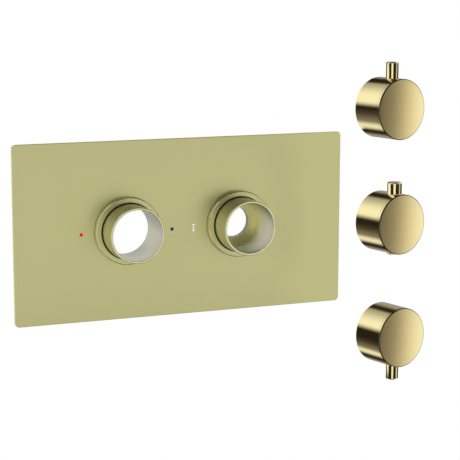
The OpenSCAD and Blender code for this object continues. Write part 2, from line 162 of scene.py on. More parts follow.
# Where the middle of each handle's face is, and its peg: radius, reach, distance behind the
# face, and 1 for a peg that points up or -1 for one that points down
PEG_SEAT = 1
PEG_ROUND = 0.9
TAIL_R = 2.5
TAIL_L = 5.2
HANDLES = {
    "temperature": {"face": (155.4, -52.0, -0.7), "peg": (5.4, 8.4, 9.1, 1)},
    "flow": {"face": (155.85, -47.35, 84.2), "peg": (4.6, 11.8, 11.6, 1)},
    "diverter": {"face": (154.95, -56.65, -85.6), "peg": (4.6, 11.1, 10.2, -1)},
}

# Hubs and spindle screws
HUB_R = 14.9
HUB_FLANGE_BACK = 16.5
HUB_BOSS_R = 10.5
HUB_BOSS_BACK = 10
HUB_NOSE_R = 8
HUB_NOSE_BACK = 4
HUB_BREAK = 0.5
HUB_RIM_BREAK = 0.4
SOCKET_R = 4
SOCKET_END = 16
KEY_W = 1.5
KEY_DEPTH = 0.8
SCREW_R = 2
SCREW_HEAD_R = 4
SCREW_HEAD_FRONT = 23.3
SCREW_KEY = 2.5
SCREW_KEY_DEPTH = 1.1

# Override button and its spring, by distance from the handle axis
BUTTON_R = 3.8
BUTTON_LEVEL = 16.1
BUTTON_TIP = 23.5
BUTTON_BREAK = 0.5
BUTTON_BORE_R = 3.86
GUIDE_END = 17.5
STOP_OUTER = 17.45
STOP_INNER = 16.05
STOP_R = 4.5
POCKET_R = 4.7
STEM_R = 1.5
STEM_END = 8.6
STEM_HOLE_R = 1.65
STEM_HOLE_END = 6.9
SPRING_SEAT = 9.5
SPRING_R = 2.5
SPRING_WIRE_R = 0.25
SPRING_TURNS = 5
SPRING_STEPS = 36
WIRE_SIDES = 12


# Camera
def make_camera():
    data = bpy.data.cameras.new("camera")
    data.lens = CAMERA_LENS
    data.sensor_width = CAMERA_FILM
    camera = bpy.data.objects.new("camera", data)
    bpy.context.scene.collection.objects.link(camera)
    turn, dip, roll = (math.radians(a) for a in (CAMERA_TURN, CAMERA_DIP, CAMERA_ROLL))
    ahead = Vector((math.sin(turn) * math.cos(dip), math.cos(turn) * math.cos(dip), -math.sin(dip)))
    right = Vector((math.cos(turn), -math.sin(turn), 0))
    up = right.cross(ahead)
    side = math.cos(roll) * right + math.sin(roll) * up
    top = math.cos(roll) * up - math.sin(roll) * right
    axes = Matrix((side, top, -ahead)).transposed().to_4x4()
    camera.matrix_world = Matrix.Translation(CAMERA_PLACE) @ axes
    bpy.context.scene.camera = camera


make_camera()


# Working on one piece
def select_nothing():
    bpy.ops.object.select_all(action="DESELECT")


def only(piece):
    select_nothing()
    piece.select_set(True)
    bpy.context.view_layer.objects.active = piece


def fix_place(piece):
    """Moves a piece's place, turn and scale into its mesh."""
    only(piece)
    bpy.ops.object.transform_apply(location=True, rotation=True, scale=True)


def start_edit(piece, kind="EDGE"):
    only(piece)
    bpy.ops.object.mode_set(mode="EDIT")
    bpy.ops.mesh.select_mode(type=kind)


def end_edit():
    bpy.ops.object.mode_set(mode="OBJECT")


def pick(piece, kind, wanted):
    """Selects the edges or the faces that pass the test."""
    mesh = bmesh.from_edit_mesh(piece.data)
    bpy.ops.mesh.select_all(action="DESELECT")
    for one in getattr(mesh, kind):
        one.select_set(wanted(one))
    mesh.select_flush_mode()
    bmesh.update_edit_mesh(piece.data)


def pick_edges(piece, wanted):
    """Selects the edges whose two ends both pass the test on a point."""
    pick(piece, "edges", lambda edge: all(wanted(corner.co) for corner in edge.verts))


def pick_faces(piece, wanted):
    """Selects the faces that pass the test on centre and normal."""
    pick(piece, "faces", lambda face: wanted(face.calc_center_median(), face.normal))


def pull_out(way):
    bpy.ops.mesh.extrude_region_move(TRANSFORM_OT_translate={"value": way})


def round_picked(size, steps):
    bpy.ops.mesh.bevel(offset=size, offset_type="OFFSET", segments=steps, affect="EDGES")


def face_outwards():
    bpy.ops.mesh.select_all(action="SELECT")
    bpy.ops.mesh.normals_make_consistent(inside=False)


def apply_step(piece, step):
    only(piece)
    bpy.ops.object.modifier_apply(modifier=step.name)


def cut_away(piece, *tools):
    """Cuts the tools out of the piece and throws them away."""
    for tool in tools:
        step = piece.modifiers.new("cut", "BOOLEAN")
        step.operation = "DIFFERENCE"
        step.solver = "EXACT"
        step.object = tool
        apply_step(piece, step)
        bpy.data.objects.remove(tool, do_unlink=True)
    return piece


def break_edges(piece, size, steps=2, angle=50):
    step = piece.modifiers.new("break", "BEVEL")
    step.width = size
    step.segments = steps
    step.limit_method = "ANGLE"
    step.angle_limit = math.radians(angle)
    apply_step(piece, step)
    return piece


def smooth(piece, angle=40):
    only(piece)
    bpy.ops.object.shade_smooth_by_angle(angle=math.radians(angle))
    step = piece.modifiers.new("weigh", "WEIGHTED_NORMAL")
    step.keep_sharp = True
    apply_step(piece, step)
    return piece


def copy_of(piece, name):
    twin = piece.copy()
    twin.data = piece.data.copy()
    twin.name = name
    bpy.context.scene.collection.objects.link(twin)
    return twin


def settle(piece, name, place, body, node, finish):
    """Puts a piece that was made in millimetres into its place and gives it its finish."""
    piece.name = name
    piece.data.name = name
    piece.matrix_world = Matrix.Scale(MM, 4) @ place @ piece.matrix_world
    fix_place(piece)
    piece.data.materials.clear()
    piece.data.materials.append(finish)
    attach(piece, body)
    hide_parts(node)


# Turned pieces and cutting tools
def turned(profile, solid=False, sides=SIDES):
    """Draws a circle out along the profile: radius, level and the break on that edge."""
    radius, level, _ = profile[0]
    select_nothing()
    bpy.ops.mesh.primitive_circle_add(vertices=sides, radius=radius, location=(0, 0, level))
    piece = bpy.context.object
    fix_place(piece)
    start_edit(piece)
    bpy.ops.mesh.select_all(action="SELECT")
    for (r0, z0, _), (r1, z1, _) in zip(profile, profile[1:]):
        pull_out((0, 0, z1 - z0))
        bpy.ops.transform.resize(value=(r1 / r0, r1 / r0, 1), center_override=(0, 0, z1))
    if solid:
        bpy.ops.mesh.select_all(action="SELECT")
        bpy.ops.mesh.fill_holes(sides=0)
    else:
        bpy.ops.mesh.select_all(action="DESELECT")
        bpy.ops.mesh.select_non_manifold()
        bpy.ops.mesh.bridge_edge_loops()
    face_outwards()
    for r, z, size in profile:
        if size:
            pick_edges(piece, lambda p: abs(math.hypot(p.x, p.y) - r) < TOUCH and abs(p.z - z) < TOUCH)
            round_picked(size, LARGE_STEPS if size > LARGE else BREAK_STEPS)
    end_edit()
    return piece


def pin(radius, low, high, place=(0, 0), across=False, sides=SMALL_SIDES):
    """A cutting tool: a cylinder along Z, or along Y at a level."""
    middle = (low + high) / 2
    spot = (place[0], middle, place[1]) if across else (place[0], place[1], middle)
    select_nothing()
    bpy.ops.mesh.primitive_cylinder_add(vertices=sides, radius=radius, depth=high - low,
                                        location=spot, rotation=(math.pi / 2 * across, 0, 0))
    return bpy.context.object


def block(low, high):
    """A box between two corners, as a start or as a cutting tool."""
    select_nothing()
    middle = [(a + b) / 2 for a, b in zip(low, high)]
    bpy.ops.mesh.primitive_cube_add(size=1, location=middle)
    made = bpy.context.object
    made.scale = [b - a for a, b in zip(low, high)]
    fix_place(made)
    return made


# Places: local Z points to the room, local Y points up
TO_ROOM = Matrix.Rotation(math.pi / 2, 4, "X")
ON_PLATE = TO_ROOM
ON_TEMPERATURE_AXIS = Matrix.Translation((-AXIS_X, 0, 0)) @ TO_ROOM
ON_FLOW_AXIS = Matrix.Translation((AXIS_X, 0, 0)) @ TO_ROOM
HANDLE_AXES = Matrix.Rotation(math.radians(HANDLE_TURN), 4, "Z") @ TO_ROOM


def in_handle(name):
    back = Matrix.Translation((0, 0, -HANDLE_L))
    return Matrix.Translation(HANDLES[name]["face"]) @ HANDLE_AXES @ back


# Shader maths; clouds are plain noise, and grain is finer and rougher
BLUR = 0.02
CLOUD_DETAIL = 2.0
CLOUD_ROUGH = 0.5
GRAIN_DETAIL = 3.0
GRAIN_ROUGH = 0.6


class Value:
    """A socket in a material. Arithmetic on it adds Math nodes."""

    def __init__(self, shop, socket):
        self.shop = shop
        self.socket = socket

    def math(self, operation, *values):
        return self.shop.node("ShaderNodeMath", {"operation": operation}, dict(enumerate(values)))

    def __add__(self, other):
        return self.math("ADD", self, other)

    def __radd__(self, other):
        return self.math("ADD", other, self)

    def __sub__(self, other):
        return self.math("SUBTRACT", self, other)

    def __rsub__(self, other):
        return self.math("SUBTRACT", other, self)

    def __mul__(self, other):
        return self.math("MULTIPLY", self, other)

    def __rmul__(self, other):
        return self.math("MULTIPLY", other, self)

    def sine(self):
        return self.math("SINE", self)

    def size(self):
        return self.math("ABSOLUTE", self)

    def root(self):
        return self.math("SQRT", self)

    def most(self, other):
        return self.math("MAXIMUM", self, other)

    def rise(self, low, high):
        """0 below low, 1 above high, and smooth between them."""
        ends = {0: self, 1: low, 2: high, 3: 0.0, 4: 1.0}
        return self.shop.node("ShaderNodeMapRange", {"interpolation_type": "SMOOTHSTEP"}, ends)

    def between(self, low, high):
        return self.rise(low - BLUR, low) * (1 - self.rise(high, high + BLUR))


class Shop:
    """The node tree of one material or of the world."""

    def __init__(self, owner):
        owner.use_nodes = True
        self.owner = owner
        self.tree = owner.node_tree
        self.tree.nodes.clear()

    def node(self, kind, settings, plugs, out=0):
        """Adds a node, sets it, then fills its sockets by number or name."""
        made = self.tree.nodes.new(kind)
        for key, value in settings.items():
            setattr(made, key, value)
        for key, value in plugs.items():
            if isinstance(value, Value):
                self.tree.links.new(value.socket, made.inputs[key])
            else:
                made.inputs[key].default_value = value
        return Value(self, made.outputs[out]) if made.outputs else None

    def here(self):
        """Object coordinates, in the object's own unit."""
        return self.node("ShaderNodeTexCoord", {}, {}, out="Object")

    def spot(self):
        """Object coordinates of a finished piece in millimetres."""
        return self.node("ShaderNodeVectorMath", {"operation": "SCALE"},
                         {0: self.here(), "Scale": 1 / MM})

    def parts(self, vector):
        split = self.node("ShaderNodeSeparateXYZ", {}, {0: vector})
        outputs = split.socket.node.outputs
        return [Value(self, outputs[axis]) for axis in "XYZ"]

    def along(self, vector, direction):
        """How far a point lies along a direction."""
        plugs = {0: vector, 1: direction}
        return self.node("ShaderNodeVectorMath", {"operation": "DOT_PRODUCT"}, plugs, out="Value")

    def vector(self, x, y, z):
        return self.node("ShaderNodeCombineXYZ", {}, {0: x, 1: y, 2: z})

    def noise(self, vector, scale, detail=CLOUD_DETAIL, rough=CLOUD_ROUGH):
        plugs = {"Vector": vector, "Scale": scale, "Detail": detail, "Roughness": rough}
        return self.node("ShaderNodeTexNoise", {}, plugs)

    def grain(self, vector, scale):
        return self.noise(vector, scale, GRAIN_DETAIL, GRAIN_ROUGH)

    def mix(self, share, first, second):
        plugs = {0: share, 6: first, 7: second}
        return self.node("ShaderNodeMix", {"data_type": "RGBA"}, plugs, out=2)

    def layered(self, share, first, second):
        """One shader over another."""
        return self.node("ShaderNodeMixShader", {}, {0: share, 1: first, 2: second})

    def tints(self, share, colour, low, high):
        """A colour times low where the share is 0, and times high where it is 1."""
        return self.mix(share, tinted(colour, low), tinted(colour, high))

    def bump(self, height, depth):
        """Relief whose full height is the given depth in millimetres."""
        return self.node("ShaderNodeBump", {}, {"Height": height, "Distance": depth * MM})

    def finish(self, shader):
        self.node("ShaderNodeOutputMaterial", {}, {"Surface": shader})
        return self.owner


def new_shop(name):
    return Shop(bpy.data.materials.new(name))


def shade(red, green, blue):
    """A colour that is written as in a paint program, 0 to 255."""
    shares = [channel / 255 for channel in (red, green, blue)]
    return (*[c / 12.92 if c <= 0.04045 else ((c + 0.055) / 1.055) ** 2.4 for c in shares], 1)


def tinted(colour, factor):
    return (*[channel * factor for channel in colour[:3]], 1)


def surface(shop, colour, roughness, normal, metallic=1.0, **constants):
    plugs = {"Base Color": colour, "Roughness": roughness, "Normal": normal, "Metallic": metallic}
    plugs.update({key.replace("_", " "): value for key, value in constants.items()})
    return shop.finish(shop.node("ShaderNodeBsdfPrincipled", {}, plugs))


# Colours
SATIN = shade(195, 192, 138)
SLEEVE_BRASS = shade(220, 217, 188)
RIM_BRASS = shade(216, 213, 158)
BORE_GREY = shade(194, 192, 172)
SHOULDER_BRASS = shade(216, 211, 152)
BORE_SHADE = (0.28, 0.26, 0.17, 1)
SMALL_BORE_BRASS = shade(126, 124, 94)
POLISHED = shade(251, 236, 178)
BARE_BRASS = shade(206, 182, 112)
STEEL = shade(190, 190, 192)
RUBBER = shade(22, 20, 18)
FOAM = shade(92, 92, 95)
HUB = shade(226, 223, 214)
RED = shade(230, 0, 8)
BLUE = shade(26, 16, 112)
WHITE = shade(246, 246, 246)


# Where finishes, painted light and painted shade change, in millimetres, with y towards the wall and z
# upwards
PLATE_EDGE = 0.35
HAIRS_ALONG = 0.03
HAIRS_ACROSS = 4
THREAD_PITCH = 1.0
THREAD_FRONT = (-FLANGE_BACK - 0.05, -FLANGE_BACK)
THREAD_SKIN = (THREAD_R - 0.3, THREAD_R - 0.2)
COLLAR_WALL = (COLLAR_R - 0.3, COLLAR_R - 0.15)
# Where the painted shade round the edge of each face lies
FACE_EDGE_REACH = (DRUM_R - 0.7, DRUM_R - 0.62)
FACE_EDGE_LEVEL = (-0.95, -0.85)
SEAM_LEVEL = (CAP_BACK - HANDLE_L - 0.04, CAP_BACK - HANDLE_L + SEAM_W + 0.04)
BORE_SKIN = (BORE_R + 0.4, BORE_R + 0.6)
HOLE_SKIN = (SMALL_BORE_R + 0.05, SMALL_BORE_R + 0.1)
SHOULDER_SKIN = (-SHOULDER_FRONT - 0.04, -SHOULDER_FRONT + 0.04)
RIM_DEPTH = (-SLEEVE_FRONT + 0.48, -SLEEVE_FRONT + 0.56)
LIP_REACH = (SLEEVE_R - 0.6, SLEEVE_R - 0.5)
# Where the painted light and the painted shade in the bores come in
SHOULDER_PAINTED_LIGHT = (-13, -3)
SHOULDER_SHADE = (4, 17)
PLAIN_BORE_DEPTH = (-26, 0)
PLAIN_BORE_FOOT = (-17, -7)
PLAIN_BORE_TOP = (-3, 12)


# Finishes
def uneven(middle, pattern, spread):
    """A number that follows a pattern from half the spread below it to half above."""
    return middle + (pattern - 0.5) * spread


def turning_lines(shop, radius, level, per_mm):
    """Fine lathe lines, round the axis on a face and round the wall on a cylinder."""
    path = shop.vector(radius * per_mm, level * per_mm, 0.0)
    return shop.noise(path, scale=1.0, detail=GRAIN_DETAIL, rough=0.65)


def round_axis(shop, centre_x):
    """Place on a piece, its distance from an axis that runs along Y, and its y and z."""
    spot = shop.spot()
    x, y, z = shop.parts(spot)
    off = x - centre_x
    return spot, (off * off + z * z).root(), y, z


def satin_plate():
    """Satin brass sheet with fine hairlines that run from left to right."""
    shop = new_shop("satin_brass_plate")
    spot = shop.spot()
    x, y, z = shop.parts(spot)
    hairs = shop.grain(shop.vector(x * HAIRS_ALONG, y, z * HAIRS_ACROSS), scale=1.0)
    clouds = shop.noise(spot, scale=0.03)
    beside = (x.size() - (PLATE_W / 2 - PLATE_EDGE)).rise(0, 0.2)
    edge = beside + (z.size() - (PLATE_H / 2 - PLATE_EDGE)).rise(0, 0.2)
    tone = shop.tints(hairs * 0.5 + clouds * 0.5, SATIN, 0.975, 1.025)
    colour = shop.mix(edge * 0.5, tone, tinted(SATIN, 1.12))
    rough = uneven(uneven(0.34, hairs, spread=0.08), clouds, spread=0.05) - edge * 0.06
    return surface(shop, colour, rough, shop.bump(hairs, depth=0.0018))


def bare_bore(shop, clouds, y, z):
    """Bare grey of a plain bore, with painted shade low down towards the back and at the top."""
    # Painted shade: the grey darkens deep in the bore low down, and at the top
    painted_shade = y.rise(*PLAIN_BORE_DEPTH) * (1 - z.rise(*PLAIN_BORE_FOOT)) * 0.5
    painted_shade = painted_shade + z.rise(*PLAIN_BORE_TOP) * 0.85
    return shop.mix(painted_shade, shop.tints(clouds, BORE_GREY, 0.94, 1.06), tinted(BORE_GREY, 0.45))


def shouldered_bore(shop, clouds, y, z):
    """Bare grey of a bore with a shoulder, as a painted lighter copy of the grey that gets paler still
    near the shoulder, and with painted shade at the top.
    """
    # Painted light: the bore's grey is made lighter, and lighter still deep in towards the shoulder
    grey = shop.tints(clouds, BORE_GREY, 0.94 * 1.2, 1.06 * 1.2)
    grey = shop.mix(y.rise(*SHOULDER_PAINTED_LIGHT) * 0.8, grey, tinted(BORE_GREY, 1.75))
    # Painted shade at the top of the bore
    return shop.mix(z.rise(*SHOULDER_SHADE) * 0.6, grey, BORE_SHADE)


def sleeve_finish(name, centre_x, shouldered):
    """Turned brass outside, a brighter rim and a bare grey bore."""
    shop = new_shop(name)
    spot, radius, y, z = round_axis(shop, centre_x)
    lines = turning_lines(shop, radius, y, per_mm=5.0)
    clouds = shop.noise(spot, scale=0.12)
    wall = radius.rise(*BORE_SKIN)
    rim = 1 - y.rise(*RIM_DEPTH)
    tone = shop.mix(wall, SHOULDER_BRASS, shop.tints(lines, SLEEVE_BRASS, 0.95, 1.05))
    tone = shop.mix(rim * (1 - radius.rise(*LIP_REACH)), shop.mix(rim, tone, SATIN), RIM_BRASS)
    bore = 1 - wall
    if shouldered:
        beyond_hole = radius.rise(*HOLE_SKIN)
        shoulder = y.between(*SHOULDER_SKIN)
        bore = bore * (1 - shoulder * beyond_hole)
        grey = shop.mix(beyond_hole, SMALL_BORE_BRASS, shouldered_bore(shop, clouds, y, z))
    else:
        grey = bare_bore(shop, clouds, y, z)
    rough = uneven(0.3, lines, spread=0.1) - rim * 0.08 + bore * 0.1
    return surface(shop, shop.mix(bore, tone, grey), rough, shop.bump(lines, depth=0.003))


def collar_finish(name, centre_x):
    """Turned satin brass with a cut thread on the tail behind the plate."""
    shop = new_shop(name)
    spot, radius, y, _ = round_axis(shop, centre_x)
    lines = turning_lines(shop, radius, y, per_mm=5.0)
    clouds = shop.noise(spot, scale=0.06)
    tail = y.rise(*THREAD_FRONT) * radius.rise(*THREAD_SKIN)
    thread = (y * (2 * math.pi / THREAD_PITCH)).sine() * 0.5 + 0.5
    height = lines * (1 - tail) * 0.02 + thread * tail
    wall = radius.rise(*COLLAR_WALL)
    colour = shop.mix(wall, shop.tints(clouds * 0.5 + lines * 0.5, SATIN, 0.97, 1.05), SLEEVE_BRASS)
    rough = uneven(0.33, lines, spread=0.1) - tail * 0.05 - wall * 0.2
    return surface(shop, colour, rough, shop.bump(height, depth=0.15))


def polished_finish(name, face):
    """Finely polished brass of one handle, with faint lines round its axis.

    The edge round the face is tinted dark as painted shade, and the seam of the cap is tinted dark.
    """
    shop = new_shop(name)
    spot = shop.spot()
    axis = HANDLE_AXES.to_3x3() @ Vector((0, 0, 1))
    level = shop.along(spot, tuple(axis)) - Vector(face).dot(axis)
    from_face = shop.node("ShaderNodeVectorMath", {"operation": "SUBTRACT"}, {0: spot, 1: face})
    reach = shop.node("ShaderNodeVectorMath", {"operation": "LENGTH"}, {0: from_face}, out="Value")
    radius = (reach * reach - level * level).size().root()
    lines = turning_lines(shop, radius, level, per_mm=6.0)
    clouds = shop.noise(spot, scale=0.07)
    # Painted shade: a dark ring round the edge of the face
    edge = radius.rise(*FACE_EDGE_REACH) * level.rise(*FACE_EDGE_LEVEL)
    seam = level.between(*SEAM_LEVEL)
    tone = shop.tints(lines * 0.4 + clouds * 0.6, POLISHED, 0.975, 1.02)
    tone = shop.mix(edge.most(seam), tone, tinted(POLISHED, 0.11))
    rough = uneven(uneven(0.11, lines, spread=0.04), clouds, spread=0.03) - edge * 0.02
    return surface(shop, tone, rough, shop.bump(lines, depth=0.0008))


def bare_brass_finish(name, centre_x):
    """Sawn and faced brass of a nut, a little dull."""
    shop = new_shop(name)
    spot, radius, y, _ = round_axis(shop, centre_x)
    lines = turning_lines(shop, radius, y, per_mm=3.0)
    tarnish = shop.noise(spot, scale=0.25, detail=4.0, rough=GRAIN_ROUGH)
    colour = shop.tints(tarnish.rise(0.35, 0.75), BARE_BRASS, 1, 0.78)
    rough = uneven(0.3 + tarnish * 0.15, lines, spread=0.1)
    return surface(shop, colour, rough, shop.bump(lines, depth=0.006))


def foam_finish():
    """Closed-cell foam: small domed cells, lighter on their tops and darker in the creases between
    them as painted shade, and a little unevenness.
    """
    shop = new_shop("foam")
    spot = shop.spot()
    cells = shop.node("ShaderNodeTexVoronoi", {}, {"Vector": spot, "Scale": 1.6})
    # Painted shade: darker in the creases between the domed cells
    tone = shop.tints(cells.rise(0.1, 0.7), FOAM, 1.12, 0.7)
    colour = shop.mix(shop.noise(spot, scale=0.05) * 0.4, tone, tinted(FOAM, 0.9))
    rough = uneven(0.82, shop.grain(spot, scale=2.5), spread=0.15)
    return surface(shop, colour, rough, shop.bump(1 - cells, depth=0.12), metallic=0.0)


def grained_finish(name, colour, tints, roughness, spread, grain, clouds, depth, metallic=0.0,
                   detail=CLOUD_DETAIL):
    """A plain stuff with fine grain in its gloss and clouds in its colour."""
    shop = new_shop(name)
    spot = shop.spot()
    fine = shop.grain(spot, grain)
    tone = shop.tints(shop.noise(spot, clouds, detail), colour, *tints)
    return surface(shop, tone, uneven(roughness, fine, spread), shop.bump(fine, depth),
                   metallic=metallic)


def enamel_finish(name, colour):
    """Baked enamel in a shallow recess, a little uneven."""
    shop = new_shop(name)
    orange_peel = shop.noise(shop.spot(), scale=2.2)
    rough = uneven(0.3, orange_peel, spread=0.1)
    return surface(shop, shop.tints(orange_peel, colour, 0.94, 1.04), rough,
                   shop.bump(orange_peel, depth=0.01), metallic=0.0, Specular_IOR_Level=0.2)


SATIN_PLATE = satin_plate()
RUBBER_FINISH = grained_finish("rubber", RUBBER, tints=(1, 1.7), roughness=0.55, spread=0.2,
                               grain=6.0, clouds=0.4, depth=0.01)
STEEL_FINISH = grained_finish("steel", STEEL, tints=(0.9, 1.05), roughness=0.28, spread=0.12,
                              grain=3.0, clouds=0.3, depth=0.003, metallic=1.0, detail=3.0)
HUB_FINISH = grained_finish("hub_plastic", HUB, tints=(0.94, 1.02), roughness=0.42, spread=0.15,
                            grain=5.0, clouds=0.15, depth=0.008)


# Sleeves
def temperature_sleeve():
    tube = turned([(BORE_R, TEMPERATURE_BACK, FINE), (SLEEVE_R, TEMPERATURE_BACK, RIM_BREAK),
                   (SLEEVE_R, SLEEVE_FRONT, RIM_ROUND), (BORE_R, SLEEVE_FRONT, RIM_BREAK)])
    finish = sleeve_finish("temperature_sleeve_brass", -AXIS_X, shouldered=False)
    settle(smooth(tube), "temperature_sleeve_tube", ON_TEMPERATURE_AXIS, "sleeves",
           "temperature_sleeve", finish)


def flow_sleeve():
    tube = turned([(SMALL_BORE_R, SHOULDER_BACK, FINE), (SLEEVE_R, SHOULDER_BACK, RIM_BREAK),
                   (SLEEVE_R, SLEEVE_FRONT, RIM_ROUND), (BORE_R, SLEEVE_FRONT, RIM_BREAK),
                   (BORE_R, SHOULDER_FRONT, SHARP), (SMALL_BORE_R, SHOULDER_FRONT, SOFT)])
    finish = sleeve_finish("flow_sleeve_brass", AXIS_X, shouldered=True)
    settle(smooth(tube), "flow_sleeve_tube", ON_FLOW_AXIS, "sleeves",
           "flow_sleeve", finish)


# Faceplate, marks and pad
def rounded_sheet(width, height, back, front, corner):
    """A sheet with round corners, still in edit mode."""
    sheet = block((-width / 2, -height / 2, back), (width / 2, height / 2, front))
    start_edit(sheet)
    pick(sheet, "edges", lambda edge: abs(edge.verts[0].co.z - edge.verts[1].co.z) > TOUCH)
    round_picked(corner, CORNER_STEPS)
    return sheet


def numeral_sheet(low, high, over=0):
    """The upright of the numeral, cut across near its ends and drawn out into serifs."""
    stem = block((-NUMERAL_STEM / 2 - over, -NUMERAL_H / 2 - over, low),
                 (NUMERAL_STEM / 2 + over, NUMERAL_H / 2 + over, high))
    start_edit(stem, "FACE")
    inner = NUMERAL_H / 2 - NUMERAL_SERIF - over
    for level in (-inner, inner):
        bpy.ops.mesh.select_all(action="SELECT")
        bpy.ops.mesh.bisect(plane_co=(0, level, 0), plane_no=(0, 1, 0))
    reach = (NUMERAL_W - NUMERAL_STEM) / 2
    for side in (-1, 1):
        pick_faces(stem, lambda centre, normal: normal.x * side > 0.9 and abs(centre.y) > inner)
        pull_out((side * reach, 0, 0))
    face_outwards()
    end_edit()
    return stem


def holes_for_sleeves(radius):
    """Cutting tools for the two holes in the faceplate or the pad."""
    return [pin(radius, CUT_LOW, CUT_HIGH, (x, 0), sides=SIDES) for x in (-AXIS_X, AXIS_X)]


def faceplate():
    sheet = rounded_sheet(PLATE_W, PLATE_H, PLATE_BACK, PLATE_FRONT, PLATE_CORNER)
    pick_edges(sheet, lambda p: abs(p.z - PLATE_FRONT) < TOUCH)
    round_picked(PLATE_BREAK, SHEET_STEPS)
    face_outwards()
    end_edit()
    numeral = numeral_sheet(MARK_FLOOR, PLATE_FRONT + OVER)
    numeral.location = (NUMERAL_X, MARK_Z, 0)
    cut_away(sheet, *holes_for_sleeves(PLATE_HOLE_R),
             pin(DOT_R, MARK_FLOOR, CUT_HIGH, (HOT_X, MARK_Z)),
             pin(DOT_R, MARK_FLOOR, CUT_HIGH, (COLD_X, MARK_Z)),
             numeral)
    settle(smooth(sheet), "faceplate_sheet", ON_PLATE, "plate", "faceplate",
           SATIN_PLATE)


def on_mark_line(x):
    return Matrix.Translation((x, 0, MARK_Z)) @ TO_ROOM


def enamel_dot(name, x, finish_name, colour):
    dot = turned([(DOT_R, MARK_FLOOR, SHARP), (DOT_R, PLATE_FRONT, DOT_BREAK)], solid=True,
                 sides=SMALL_SIDES)
    settle(smooth(dot), name + "_enamel", on_mark_line(x), "plate", name,
           enamel_finish(finish_name, colour))


def outlet_numeral():
    numeral = break_edges(numeral_sheet(MARK_FLOOR, PLATE_FRONT), NUMERAL_BREAK)
    settle(smooth(numeral), "outlet_numeral_enamel", on_mark_line(NUMERAL_X), "plate",
           "outlet_numeral", enamel_finish("white_enamel", WHITE))


def backing_pad():
    """Foam sheet whose squeezed edges swell into a round."""
    pad = rounded_sheet(PLATE_W - 2 * PAD_INSET, PLATE_H - 2 * PAD_INSET, 0, PLATE_BACK, PAD_CORNER)
    face_outwards()
    end_edit()
    cut_away(pad, *holes_for_sleeves(PAD_HOLE_R))
    break_edges(pad, PAD_SWELL, SHEET_STEPS)
    settle(smooth(pad), "backing_pad_foam", ON_PLATE, "plate", "backing_pad", foam_finish())


# Collars and what holds them
def collar():
    return smooth(turned([
        (COLLAR_BORE_R, THREAD_END, THIN), (THREAD_R, THREAD_END, SOFT),
        (THREAD_R, FLANGE_BACK, SHARP), (COLLAR_R, FLANGE_BACK, SMALL),
        (COLLAR_R, COLLAR_FRONT, COLLAR_BREAK), (LIP_R, COLLAR_FRONT, FINE),
        (LIP_R, WIPER_FRONT, SHARP), (WIPER_R, WIPER_FRONT, SHARP),
        (WIPER_R, WIPER_BACK, SHARP), (COLLAR_BORE_R, WIPER_BACK, SHARP)]))


def plain_ring(inner, outer, back, front, rounding):
    return smooth(turned([(inner, back, rounding), (outer, back, rounding),
                          (outer, front, rounding), (inner, front, rounding)]))


def collar_nut():
    nut = turned([(THREAD_R, NUT_BACK, SOFT), (NUT_R, NUT_BACK, SOFT),
                  (NUT_R, NUT_FRONT, SOFT), (THREAD_R, NUT_FRONT, SMALL)])
    half = NUT_SLOT_W / 2
    low, high = NUT_BACK - OVER, NUT_FRONT + OVER
    inner, outer = NUT_R - NUT_SLOT_DEPTH, NUT_R + OVER
    cut_away(nut,
             block((inner, -half, low), (outer, half, high)),
             block((-outer, -half, low), (-inner, half, high)),
             block((-half, inner, low), (half, outer, high)),
             block((-half, -outer, low), (half, -inner, high)))
    return smooth(nut)


def collar_stack():
    """What repeats round both sleeves is made once and copied."""
    made = {
        "collar": (collar(), "ring", "satin_brass_sleeve"),
        "collar_seal": (plain_ring(THREAD_R, SEAL_R, PLATE_FRONT, FLANGE_BACK, SMALL),
                        "washer", "rubber"),
        "wiper_ring": (plain_ring(COLLAR_BORE_R, WIPER_R, WIPER_BACK, WIPER_FRONT, SOFT),
                       "lip", "rubber"),
        "collar_nut": (collar_nut(), "round", "bare_brass"),
        "nut_washer": (plain_ring(THREAD_R, WASHER_R, NUT_FRONT, PLATE_BACK, THIN),
                       "disc", "steel"),
    }
    for side, place, centre_x in (("temperature", ON_TEMPERATURE_AXIS, -AXIS_X),
                                  ("flow", ON_FLOW_AXIS, AXIS_X)):
        finishes = {
            "collar": collar_finish(side + "_collar_brass", centre_x),
            "collar_seal": RUBBER_FINISH,
            "wiper_ring": RUBBER_FINISH,
            "collar_nut": bare_brass_finish(side + "_nut_brass", centre_x),
            "nut_washer": STEEL_FINISH,
        }
        for part, (model, word, slot) in made.items():
            node = f"{side}_{part}"
            piece = model if side == "flow" else copy_of(model, node)
            settle(piece, f"{node}_{word}", place, "plate", node, finishes[part])


# Handles
def drum():
    return turned([
        (SKIRT_R, 0, SOFT), (DRUM_R, 0, SOFT), (DRUM_R, CAP_BACK, SEAM_BREAK),
        (RECESS_R, CAP_BACK, SMALL), (RECESS_R, WEB_FRONT, SHARP), (SCREW_HOLE_R, WEB_FRONT, FINE),
        (SCREW_HOLE_R, WEB_BACK, SHARP), (CHAMBER_R, WEB_BACK, SHARP),
        (CHAMBER_R, SKIRT_DEPTH, SOFT), (SKIRT_R, SKIRT_DEPTH, SHARP)])


def below_axis(radius, outer, inner):
    """Cutting tool along the way of the override button, between two distances from the axis."""
    return pin(radius, -outer, -inner, (0, BUTTON_LEVEL), across=True)


def button_pocket():
    return below_axis(POCKET_R, GUIDE_END, SPRING_SEAT)


